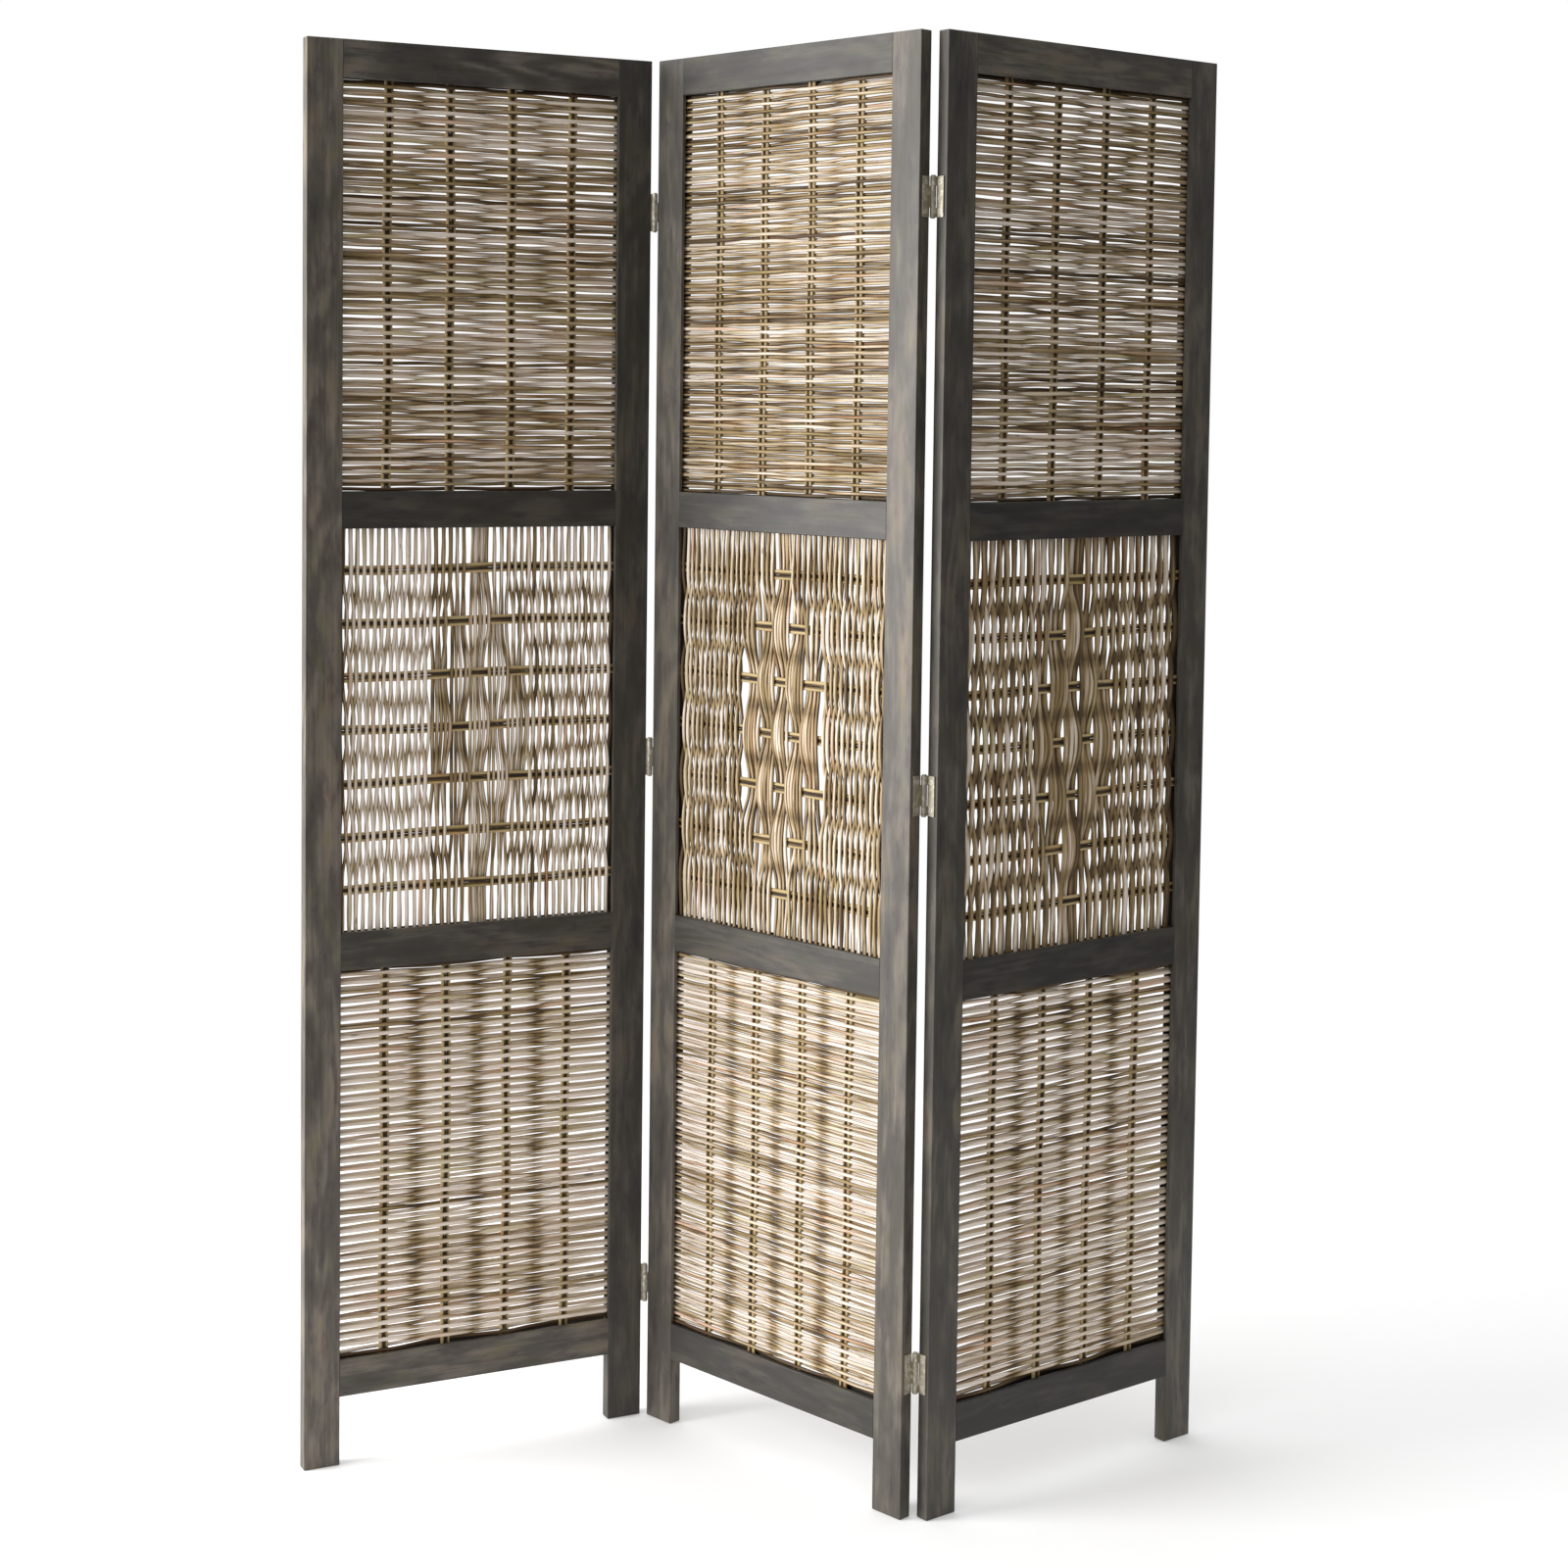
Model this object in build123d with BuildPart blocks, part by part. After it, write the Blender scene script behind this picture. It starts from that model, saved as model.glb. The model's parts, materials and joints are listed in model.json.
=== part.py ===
from build123d import *
import os

# Three-panel folding room divider screen. Each panel is a stained wood frame that
# holds three woven willow inserts, and pairs of panels are joined by butt hinges.
# Millimetres. +Z is up, the screen faces -Y, and the origin is on the floor, at the
# centre of the screen's outline as it stands in its zigzag.

# ---- frame ----
PANEL_WIDTH = 435.0
PANEL_HEIGHT = 1700.0
FRAME_DEPTH = 17.0
STILE_WIDTH = 44.0
LEG_HEIGHT = 83.0  # floor to the underside of the bottom rail
BOTTOM_RAIL = 45.0
LOWER_OPENING = 472.0
LOWER_RAIL = 45.0
MIDDLE_OPENING = 482.0
UPPER_RAIL = 44.0
TOP_RAIL = 45.0
EDGE_ROUND = 1.0

# ---- joinery ----
GROOVE_DEPTH = 10.0
GROOVE_END = 8.0  # the stile's groove stops this far inside its end rails
FRONT_LIP = 4.8  # wood in front of the groove
TONGUE_CLEARANCE = 0.2
DOWEL_RADIUS = 3.0
DOWEL_LENGTH = 36.0
DOWEL_SPACING = 14.0
DOWEL_IN_STILE = 14.0
DOWEL_CLEARANCE = 0.05
DOWEL_END_GAP = 0.5

# ---- willow inserts ----
ROD_SHARE = 0.484
ROD_THICKNESS = 3.2
ROD_PITCHES = {
    "left": {"lower": 10.75, "middle": 9.0, "upper": 10.3},
    "middle": {"lower": 8.5, "middle": 8.7, "upper": 9.0},
    "right": {"lower": 10.5, "middle": 11.9, "upper": 9.8},
}
STICK_WIDTH = 5.0
STICK_THICKNESS = 3.6
STICK_PAIR_SPACING = 5.8
STICK_SPACING = 78.0  # between pairs, in the upper and lower inserts
STICK_PAIRS = 4
ROW_SPACING = 64.0  # between pairs, in the middle insert
ROW_PAIRS = 7
WEAVE_CLEARANCE = 0.1  # rods to sticks
GROOVE_CLEARANCE = 0.2  # weave to groove wall
ROD_END_GAP = 1.5  # rod end to groove bottom

# ---- hinges ----
HINGE_GAP = 9.0  # between two panels that lie flat
PIN_PROUD = 1.0  # pin axis beyond the face it folds towards
HINGE_LENGTH = 46.0
TOP_HINGE_DROP = 185.5
MIDDLE_HINGE_HEIGHT = 838.0
BOTTOM_HINGE_HEIGHT = 169.5
LEAF_THICKNESS = 1.8
LEAF_START = 2.0  # from the face it folds towards
LEAF_END = 13.0
KNUCKLE_RADIUS = 3.5
MIDDLE_KNUCKLE = 24.0
KNUCKLE_GAP = 0.3
WEB_REACH = 3.2  # how far the leaf's bent web stands off the stile
WEB_END = 2.5
PIN_RADIUS = 1.6
PIN_CLEARANCE = 0.05
PIN_CAP_RADIUS = 2.6
PIN_CAP_HEIGHT = 1.2
PIN_CAP_GAP = 0.1
SCREW_SPACING = 32.0
SCREW_ACROSS = 7.6  # from the face that the leaf folds towards
SCREW_RADIUS = 1.5
SCREW_HEAD_RADIUS = 3.0
SCREW_LENGTH = 13.0
SCREW_CLEARANCE = 0.1
SCREW_SLOT = 0.8

# ---- standing pose: each panel's turn about +Z ----
LEFT_TURN = 26.0
MIDDLE_TURN = -45.0
RIGHT_TURN = 38.0

# ---- levels and the plane of the weave, from the values above ----
bottom_rail_z = (LEG_HEIGHT, LEG_HEIGHT + BOTTOM_RAIL)
lower_rail_z = (bottom_rail_z[1] + LOWER_OPENING, bottom_rail_z[1] + LOWER_OPENING + LOWER_RAIL)
upper_rail_z = (lower_rail_z[1] + MIDDLE_OPENING, lower_rail_z[1] + MIDDLE_OPENING + UPPER_RAIL)
top_rail_z = (PANEL_HEIGHT - TOP_RAIL, PANEL_HEIGHT)
RAILS = {
    "bottom_rail": bottom_rail_z,
    "lower_rail": lower_rail_z,
    "upper_rail": upper_rail_z,
    "top_rail": top_rail_z,
}
groove_z = (LEG_HEIGHT + GROOVE_END, PANEL_HEIGHT - GROOVE_END)
opening_u = (STILE_WIDTH, PANEL_WIDTH - STILE_WIDTH)
weave_thickness = STICK_THICKNESS + 2 * ROD_THICKNESS + 2 * WEAVE_CLEARANCE
groove_width = weave_thickness + 2 * GROOVE_CLEARANCE
groove_v = (FRONT_LIP, FRONT_LIP + groove_width)
weave_v = FRONT_LIP + groove_width / 2
rod_offset = (STICK_THICKNESS + ROD_THICKNESS) / 2 + WEAVE_CLEARANCE
rod_reach = GROOVE_DEPTH - ROD_END_GAP
HINGE_HEIGHTS = {
    "top": PANEL_HEIGHT - TOP_HINGE_DROP,
    "middle": MIDDLE_HINGE_HEIGHT,
    "bottom": BOTTOM_HINGE_HEIGHT,
}
end_knuckle = (HINGE_LENGTH - MIDDLE_KNUCKLE) / 2 - KNUCKLE_GAP


# ---- where the panels stand ----
def turned(u, v, turn):
    """A vector in a panel's own directions, turned to how the panel stands."""
    return Vector(u, v, 0).rotate(Axis.Z, turn)


def panel_corners():
    """Front left foot of each panel, with the middle panel's at zero."""
    half_gap = HINGE_GAP / 2
    front_axis = turned(-half_gap, -PIN_PROUD, MIDDLE_TURN)
    back_axis = turned(PANEL_WIDTH + half_gap, FRAME_DEPTH + PIN_PROUD, MIDDLE_TURN)
    left = front_axis - turned(PANEL_WIDTH + half_gap, -PIN_PROUD, LEFT_TURN)
    right = back_axis - turned(-half_gap, FRAME_DEPTH + PIN_PROUD, RIGHT_TURN)
    return {"left": left, "middle": Vector(0, 0, 0), "right": right}


TURNS = {"left": LEFT_TURN, "middle": MIDDLE_TURN, "right": RIGHT_TURN}


def outline_centre(feet):
    """Centre of the box round all the panels, on the floor."""
    outline = [
        feet[name] + turned(u, v, TURNS[name])
        for name in TURNS
        for u in (0, PANEL_WIDTH)
        for v in (0, FRAME_DEPTH)
    ]
    xs = [corner.X for corner in outline]
    ys = [corner.Y for corner in outline]
    return Vector((min(xs) + max(xs)) / 2, (min(ys) + max(ys)) / 2, 0)


def panel_planes():
    """Each panel's plane: x along its width, y into its depth, z up, from its left foot."""
    feet = panel_corners()
    centre = outline_centre(feet)
    return {
        name: Plane(origin=feet[name] - centre, x_dir=turned(1, 0, turn), z_dir=(0, 0, 1))
        for name, turn in TURNS.items()
    }


PLANES = panel_planes()


# ---- shapes in the active part's own frame ----
def block(u, v, z, mode=Mode.ADD):
    """A block between limits across, into and up the panel."""
    with Locations(((u[0] + u[1]) / 2, (v[0] + v[1]) / 2, (z[0] + z[1]) / 2)):
        Box(abs(u[1] - u[0]), abs(v[1] - v[0]), abs(z[1] - z[0]), mode=mode)


def bar(u, v, z, radius, mode=Mode.ADD):
    """A round bar across the panel, from u[0] to u[1]."""
    with Locations(((u[0] + u[1]) / 2, v, z)):
        Cylinder(radius, abs(u[1] - u[0]), rotation=(0, 90, 0), mode=mode)


def save(builder, name):
    """Label a finished piece and write it."""
    builder.part.label = name
    export_step(builder.part, f"parts/{name}.step")


# ---- hinge places ----
class HingeSide:
    """One side of a fold: the stile edge that its leaves lie on, and the pin's face."""

    def __init__(self, panel, edge, pin_face):
        self.plane = PLANES[panel]
        self.edge = PANEL_WIDTH if edge == "right" else 0.0
        self.out = 1 if edge == "right" else -1
        self.pin_at_back = pin_face == "back"

    def u(self, distance):
        """A distance off the stile's edge."""
        return self.edge + self.out * distance

    def v(self, distance):
        """A distance from the face that the panels fold towards."""
        return FRAME_DEPTH - distance if self.pin_at_back else distance

    def screw_heights(self):
        return [z + s * SCREW_SPACING / 2 for z in HINGE_HEIGHTS.values() for s in (-1, 1)]


FOLDS = {
    "left_fold": {
        "side": HingeSide("left", "right", "front"),
        "middle": HingeSide("middle", "left", "front"),
    },
    "right_fold": {
        "side": HingeSide("right", "left", "back"),
        "middle": HingeSide("middle", "right", "back"),
    },
}
HINGED_EDGES = {
    ("left", "right"): FOLDS["left_fold"]["side"],
    ("middle", "left"): FOLDS["left_fold"]["middle"],
    ("middle", "right"): FOLDS["right_fold"]["middle"],
    ("right", "left"): FOLDS["right_fold"]["side"],
}


# ---- frame pieces ----
def dowel_heights(rail_z):
    centre = sum(rail_z) / 2
    return (centre - DOWEL_SPACING / 2, centre + DOWEL_SPACING / 2)


def stile(panel, edge):
    """An upright, grooved along its inner edge, that runs on down as a leg."""
    outer, inner = (0.0, STILE_WIDTH) if edge == "left" else (PANEL_WIDTH, opening_u[1])
    inward = 1 if edge == "left" else -1
    groove_bottom = inner - inward * GROOVE_DEPTH
    with BuildPart(PLANES[panel]) as upright:
        block((outer, inner), (0, FRAME_DEPTH), (0, PANEL_HEIGHT))
        fillet(upright.edges(), EDGE_ROUND)
        block((groove_bottom, inner), groove_v, groove_z, mode=Mode.SUBTRACT)
        for rail_z in RAILS.values():
            for z in dowel_heights(rail_z):
                hole_end = groove_bottom - inward * (DOWEL_IN_STILE + DOWEL_END_GAP)
                bar((groove_bottom, hole_end), weave_v, z, DOWEL_RADIUS + DOWEL_CLEARANCE, Mode.SUBTRACT)
        if (panel, edge) in HINGED_EDGES:
            place = HINGED_EDGES[panel, edge]
            for z in place.screw_heights():
                pilot = (place.u(0), place.u(LEAF_THICKNESS - SCREW_LENGTH - DOWEL_END_GAP))
                bar(pilot, place.v(SCREW_ACROSS), z, SCREW_RADIUS + SCREW_CLEARANCE, Mode.SUBTRACT)
    save(upright, f"{panel}_stile_{edge}")


def rail(panel, name):
    """A cross rail with a tongue at each end and a groove along each edge that holds willow."""
    low, high = RAILS[name]
    tongue_v = (groove_v[0] + TONGUE_CLEARANCE, groove_v[1] - TONGUE_CLEARANCE)
    tongue_z = (
        max(low, groove_z[0] + TONGUE_CLEARANCE),
        min(high, groove_z[1] - TONGUE_CLEARANCE),
    )
    tongue = GROOVE_DEPTH - DOWEL_END_GAP
    along = Axis((0, 0, 0), PLANES[panel].x_dir)
    with BuildPart(PLANES[panel]) as crossbar:
        block(opening_u, (0, FRAME_DEPTH), (low, high))
        fillet(crossbar.edges().filter_by(along), EDGE_ROUND)
        block((opening_u[0] - tongue, opening_u[1] + tongue), tongue_v, tongue_z)
        if name != "bottom_rail":
            block(opening_u, groove_v, (low, low + GROOVE_DEPTH), mode=Mode.SUBTRACT)
        if name != "top_rail":
            block(opening_u, groove_v, (high - GROOVE_DEPTH, high), mode=Mode.SUBTRACT)
        in_rail = DOWEL_LENGTH - DOWEL_IN_STILE - GROOVE_DEPTH + DOWEL_END_GAP
        for z in dowel_heights((low, high)):
            for end, way in ((opening_u[0], 1), (opening_u[1], -1)):
                hole = (end - way * tongue, end + way * in_rail)
                bar(hole, weave_v, z, DOWEL_RADIUS + DOWEL_CLEARANCE, Mode.SUBTRACT)
    save(crossbar, f"{panel}_{name}")


def dowels(panel):
    """The hidden dowels between a panel's rails and stiles, as separate solids."""
    with BuildPart(PLANES[panel]) as pegs:
        for rail_z in RAILS.values():
            for z in dowel_heights(rail_z):
                for end, way in ((opening_u[0], 1), (opening_u[1], -1)):
                    start = end - way * (GROOVE_DEPTH + DOWEL_IN_STILE)
                    bar((start, start + way * DOWEL_LENGTH), weave_v, z, DOWEL_RADIUS)
    save(pegs, f"{panel}_dowels")


# ---- willow inserts ----
def evenly(limits, pitch):
    """Centres of equal spaces, each near the pitch, that fill the stretch between limits."""
    count = round((limits[1] - limits[0]) / pitch)
    space = (limits[1] - limits[0]) / count
    return [limits[0] + (i + 0.5) * space for i in range(count)]


def pair_centres(limits, spacing, pairs):
    """Centres of each stick of the pairs, spread about the middle of the stretch."""
    middle = sum(limits) / 2
    centres = [middle + (i - (pairs - 1) / 2) * spacing for i in range(pairs)]
    return [c + s * STICK_PAIR_SPACING / 2 for c in centres for s in (-1, 1)]


def lying_willow(panel, name, opening_z, heights, layers, across, thick):
    """Willow that runs across the panel, from groove to groove."""
    start = opening_u[0] - rod_reach
    length = opening_u[1] + rod_reach - start
    plane = PLANES[panel]
    ends = Plane(
        origin=plane.from_local_coords((start, 0, 0)), x_dir=plane.y_dir, z_dir=plane.x_dir
    )
    with BuildPart() as willow:
        with BuildSketch(ends):
            with Locations([(v, z) for z in heights for v in layers]):
                Ellipse(thick / 2, across / 2)
        extrude(amount=length)
    save(willow, f"{panel}_{name}")


def standing_willow(panel, name, opening_z, places, layers, across, thick):
    """Willow that runs up the panel, from groove to groove."""
    start = opening_z[0] - rod_reach
    length = opening_z[1] + rod_reach - start
    with BuildPart() as willow:
        with BuildSketch(PLANES[panel].offset(start)):
            with Locations([(u, v) for u in places for v in layers]):
                Ellipse(across / 2, thick / 2)
        extrude(amount=length)
    save(willow, f"{panel}_{name}")


def inserts(panel):
    """A panel's three inserts: lying rods on standing sticks above and below, the reverse between."""
    layers = (weave_v - rod_offset, weave_v + rod_offset)
    outer = {
        "lower": (bottom_rail_z[1], lower_rail_z[0]),
        "upper": (upper_rail_z[1], top_rail_z[0]),
    }
    for name, opening_z in outer.items():
        pitch = ROD_PITCHES[panel][name]
        heights = evenly(opening_z, pitch)
        sticks = pair_centres(opening_u, STICK_SPACING, STICK_PAIRS)
        width = pitch * ROD_SHARE
        lying_willow(panel, f"{name}_rods", opening_z, heights, layers, width, ROD_THICKNESS)
        standing_willow(
            panel, f"{name}_sticks", opening_z, sticks, (weave_v,), STICK_WIDTH, STICK_THICKNESS
        )
    opening_z = (lower_rail_z[1], upper_rail_z[0])
    pitch = ROD_PITCHES[panel]["middle"]
    places = evenly(opening_u, pitch)
    rows = pair_centres(opening_z, ROW_SPACING, ROW_PAIRS)
    width = pitch * ROD_SHARE
    standing_willow(panel, "middle_rods", opening_z, places, layers, width, ROD_THICKNESS)
    lying_willow(panel, "middle_sticks", opening_z, rows, (weave_v,), STICK_WIDTH, STICK_THICKNESS)


# ---- hinges ----
def leaf(fold, side, level):
    """A hinge leaf on a stile's edge, with two end knuckles or the one between them."""
    place = FOLDS[fold][side]
    centre = HINGE_HEIGHTS[level]
    half = HINGE_LENGTH / 2
    if side == "side":
        knuckles = [
            (centre - half, centre - half + end_knuckle),
            (centre + half - end_knuckle, centre + half),
        ]
    else:
        knuckles = [(centre - MIDDLE_KNUCKLE / 2, centre + MIDDLE_KNUCKLE / 2)]
    axis = (place.u(HINGE_GAP / 2), place.v(-PIN_PROUD))
    with BuildPart(place.plane) as plate:
        block(
            (place.u(0), place.u(LEAF_THICKNESS)),
            (place.v(LEAF_START), place.v(LEAF_END)),
            (centre - half, centre + half),
        )
        for low, high in knuckles:
            block((place.u(0), place.u(WEB_REACH)), (place.v(-PIN_PROUD), place.v(WEB_END)), (low, high))
            with Locations((*axis, (low + high) / 2)):
                Cylinder(KNUCKLE_RADIUS, high - low)
        with Locations((*axis, centre)):
            Cylinder(PIN_RADIUS + PIN_CLEARANCE, 2 * HINGE_LENGTH, mode=Mode.SUBTRACT)
        for s in (-1, 1):
            z = centre + s * SCREW_SPACING / 2
            through = (place.u(0), place.u(LEAF_THICKNESS))
            bar(through, place.v(SCREW_ACROSS), z, SCREW_RADIUS + SCREW_CLEARANCE, Mode.SUBTRACT)
            head_cone(place, z, SCREW_CLEARANCE, Mode.SUBTRACT)
    save(plate, f"{fold}_{level}_{side}_leaf")


def head_cone(place, z, clearance, mode):
    """A countersunk screw head, flush with the leaf's outer face."""
    depth = SCREW_HEAD_RADIUS - SCREW_RADIUS
    with Locations((place.u(LEAF_THICKNESS - depth / 2), place.v(SCREW_ACROSS), z)):
        Cone(
            SCREW_RADIUS + clearance,
            SCREW_HEAD_RADIUS + clearance,
            depth,
            rotation=(0, 90 * place.out, 0),
            mode=mode,
        )


def pins(fold):
    """A fold's three hinge pins, each with a cap at both ends."""
    place = FOLDS[fold]["side"]
    cap_start = HINGE_LENGTH / 2 + PIN_CAP_GAP
    axis = (place.u(HINGE_GAP / 2), place.v(-PIN_PROUD))
    with BuildPart(place.plane) as rods:
        for centre in HINGE_HEIGHTS.values():
            with Locations((*axis, centre)):
                Cylinder(PIN_RADIUS, 2 * cap_start)
            for s in (-1, 1):
                with Locations((*axis, centre + s * (cap_start + PIN_CAP_HEIGHT / 2))):
                    Cylinder(PIN_CAP_RADIUS, PIN_CAP_HEIGHT)
    save(rods, f"{fold}_pins")


def screws(panel):
    """A panel's hinge screws, as separate solids."""
    places = [place for (name, _), place in HINGED_EDGES.items() if name == panel]
    head = SCREW_HEAD_RADIUS - SCREW_RADIUS
    narrow = SCREW_SLOT / 2
    wide = SCREW_HEAD_RADIUS * 0.6
    with BuildPart(PLANES[panel]) as fixings:
        for place in places:
            for z in place.screw_heights():
                shank = (place.u(LEAF_THICKNESS - head), place.u(LEAF_THICKNESS - SCREW_LENGTH))
                bar(shank, place.v(SCREW_ACROSS), z, SCREW_RADIUS)
                head_cone(place, z, 0, Mode.ADD)
        for place in places:
            for z in place.screw_heights():
                slot_u = (place.u(LEAF_THICKNESS), place.u(LEAF_THICKNESS - SCREW_SLOT))
                across = place.v(SCREW_ACROSS)
                for half_v, half_z in ((narrow, wide), (wide, narrow)):
                    v_range = (across - half_v, across + half_v)
                    block(slot_u, v_range, (z - half_z, z + half_z), Mode.SUBTRACT)
    save(fixings, f"{panel}_screws")


# ---- build ----
os.makedirs("parts", exist_ok=True)

for panel in PLANES:
    for edge in ("left", "right"):
        stile(panel, edge)
    for name in RAILS:
        rail(panel, name)
    dowels(panel)
    inserts(panel)
    screws(panel)

for fold in FOLDS:
    for level in HINGE_HEIGHTS:
        for side in ("side", "middle"):
            leaf(fold, side, level)
    pins(fold)
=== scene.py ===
import json
import math
from itertools import product

import bpy
import numpy as np
from mathutils import Matrix, Vector


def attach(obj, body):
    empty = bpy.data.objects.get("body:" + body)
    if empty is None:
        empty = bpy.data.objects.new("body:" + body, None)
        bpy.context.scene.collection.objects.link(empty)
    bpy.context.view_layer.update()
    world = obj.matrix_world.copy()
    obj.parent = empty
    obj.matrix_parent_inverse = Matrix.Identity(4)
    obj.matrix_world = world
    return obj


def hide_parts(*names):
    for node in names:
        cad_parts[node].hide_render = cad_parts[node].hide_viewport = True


bl_info = {
    "name": "Folding Willow Screen",
    "version": (1, 0, 0),
    "blender": (4, 5, 0),
    "location": "View3D > Sidebar > Screen",
    "description": "Weaves, stains and lights a three-panel folding room divider screen",
    "category": "Add Mesh",
}

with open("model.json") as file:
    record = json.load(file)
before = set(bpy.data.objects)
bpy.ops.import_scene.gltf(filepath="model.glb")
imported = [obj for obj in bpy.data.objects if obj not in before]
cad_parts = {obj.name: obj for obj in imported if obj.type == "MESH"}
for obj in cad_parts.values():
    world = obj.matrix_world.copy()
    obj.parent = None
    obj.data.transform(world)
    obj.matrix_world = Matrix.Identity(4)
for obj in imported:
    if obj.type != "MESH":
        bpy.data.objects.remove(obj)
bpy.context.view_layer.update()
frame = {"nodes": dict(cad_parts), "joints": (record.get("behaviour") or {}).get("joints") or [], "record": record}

PANELS = ("left", "middle", "right")
FOLDS = ("left_fold", "right_fold")
LEVELS = ("lower", "middle", "upper")
RAILS = ("bottom_rail", "lower_rail", "upper_rail", "top_rail")
BOARDS = ("stile_left", "stile_right", *RAILS)
RAILS_ROUND = {
    "lower": ("bottom_rail", "lower_rail"),
    "middle": ("lower_rail", "upper_rail"),
    "upper": ("upper_rail", "top_rail"),
}

# ---- how the inserts and the boards differ ----
# Distance between neighbouring rods on one face.
PITCHES = {
    "left_lower": 0.01075, "left_middle": 0.009, "left_upper": 0.0103,
    "middle_lower": 0.0085, "middle_middle": 0.0087, "middle_upper": 0.009,
    "right_lower": 0.0105, "right_middle": 0.0119, "right_upper": 0.0098,
}
# Least and most swing of a rod towards its neighbour at a stick pair, in quarters of a pitch.
OPENNESS = {
    "left_lower": (0.38, 0.88), "left_middle": (0.35, 0.85), "left_upper": (-0.2, 0.42),
    "middle_lower": (0.3, 0.8), "middle_middle": (-0.25, 0.35), "middle_upper": (-0.2, 0.38),
    "right_lower": (0.5, 1.0), "right_middle": (-0.22, 0.22), "right_upper": (-0.2, 0.4),
}
# How many times thicker an insert's rods are than their share of the pitch.
GIRTH = {"left_middle": 1.08, "middle_middle": 1.26, "right_middle": 1.44}
# How much paler an insert's bark is than middling bark.
PALENESS = {
    "left_lower": 0.4, "left_middle": 0.42, "left_upper": 0.14,
    "middle_lower": 0.26, "middle_middle": 0.05, "middle_upper": -0.02,
    "right_lower": 0.36, "right_middle": 0.03, "right_upper": 0.14,
}
# How much painted shade darkens the bark where rods change sides, in the shadow of the rods that cross them.
CROSSING_SHADE = {"lower": 0.56, "middle": 0.3, "upper": 0.16}
# How much each board's wood colour is scaled, in the order of BOARDS.
BOARD_TONES = {
    "left": (2.0, 0.85, 1.5, 0.85, 0.65, 1.35),
    "middle": (1.45, 1.5, 0.6, 0.75, 0.75, 0.8),
    "right": (1.15, 1.3, 0.4, 0.5, 0.55, 1.5),
}
FIGURED_BOARD = ("left", "top_rail")
FIGURED_STRENGTH = 0.16

# ---- how willow strays from straight and round ----
TUBE_SIDES = 10
SIDE_ANGLES = np.arange(TUBE_SIDES) * math.tau / TUBE_SIDES
# A share of the tube's width, and how far one seed's oval is turned from another's.
OVALNESS = 0.04
OVAL_TURN = 40
# Least and most, as shares of the usual width.
ROD_SIZES = (0.88, 1.08)
ROD_TAPER = 0.12
# Shares of the width, and waves in radians a metre.
ROD_KNUCKLES = 0.03
KNUCKLE_WAVE = 160
ROD_SWAYS = ((37, 0.6), (91, 0.4))
DEPTH_SWAY = 0.3
# Numbers of rods: between changes of drift or skew, and next to the frame with less drift.
DRIFT_STEP = 5
SKEW_STEP = 3
EDGE_RODS = 4
SKEW = 0.3
# Length that a rod stays level for beside a stick pair, and its depth's share at its ends.
KNOT_HOLD = 0.0035
END_DEPTH = 0.45
STICK_RING_STEP = 0.009
STICK_TAPER = 0.06
PAIR_WAVE = 21
STICK_WAVE = 60
STICK_BEND = 0.0002
ROD_SEED = 71
STICK_SEED = 371

# ---- the diamond ----
# Bundles on each side of the middle one, at the widest row.
DIAMOND_REACH = 2
# A bundle in front is wider than its rods alone, and rounded towards the front.
FRONT_SPREAD = 1.18
FRONT_BULGE = 0.0012
BULGE_CURVE = 0.6
# The rods of a tie lie in two layers. The phase keeps their places positive.
TIE_LAYER = 0.0012
TIE_DEPTH = 0.0004
LAYER_PHASE = 9
# How far bundles push the sticks, and over what length.
TIE_PUSH = -0.0009
FRONT_PUSH = 0.0007
PUSH_LENGTH = 0.011

# ---- bark tints with painted shade and painted rim light, from 0 dark to 1 pale ----
# Mean and spread.
ROD_TINT = (0.5, 0.2)
DIAMOND_TINT = (0.43, 0.12)
# The darkest tint, also given whole to the outermost rods as painted shade beside the frame.
DARKEST_TINT = -0.1
# Where the painted shade on a rod's sides begins, from 0 at its face to 1 at its edge, standing in for the shade
# between neighbouring rods.
SIDE_SHADE_FROM = 0.5
# How narrowly the painted crossing shade gathers at the middle of a span.
CROSSING_SHARPNESS = 12
# Least and most, for the sides of a pair that face each other, which stay dark as painted shade, and the painted
# rim light that their outer sides add.
STICK_TINT = (0.0, 0.1)
PAINTED_RIM_LIGHT = 0.9
RIM_FROM = -0.2
RIM_WIDTH = 0.5

# ---- how bark, wood and metal vary ----
# For willow: how fast noise changes along a rod, around it, and from one rod to the next.
PATCH_GRAIN = (14, 5, 190)
STREAK_GRAIN = (9, 22, 70)
HUE_GRAIN = (5, 0, 311)
SCAR_GRAIN = (42, 3, 97)
PATCH_SHARE = 1.3
STREAK_SHARE = 0.7
TAN_STOP = 0.42
PALE_STOP = 0.78
# For wood: how fast noise changes across the board and along it.
PORE_GRAIN = (520, 11)
BAND_GRAIN = (170, 2.6)
DRIFT_GRAIN = (34, 9.0)
BLOTCH_GRAIN = (90, 30)
CONTOUR_GRAIN = (17, 3.2)
RING_COUNT = 55
BOARD_OFFSET = (1.37, 0.71, 2.13)
# How much of the wood's tint comes from each, and what is taken off for an even mean.
BAND_SHARE = 0.2
PORE_SHARE = 0.26
DRIFT_SHARE = 0.66
BLOTCH_SHARE = 0.2
TINT_MEAN = 0.15
WOOD_STOPS = (0.26, 0.5, 0.74)
DOWEL_GRAIN = (60, 60, 500)
SCRATCH_GRAIN = (900, 900, 90)
FILM_SCALE = 160.0

# ---- stage ----
FLOOR_SIDES = 96
FLOOR_DROP = 0.0005
KEY_PLACE = (-2.7, -0.75, 1.25)
KEY_AIM = (0.1, 0, 0.85)
KEY_SIZE = (1.3, 1.9)
SENSOR_WIDTH = 36.0
DARKEST_SKY = 0.05


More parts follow.
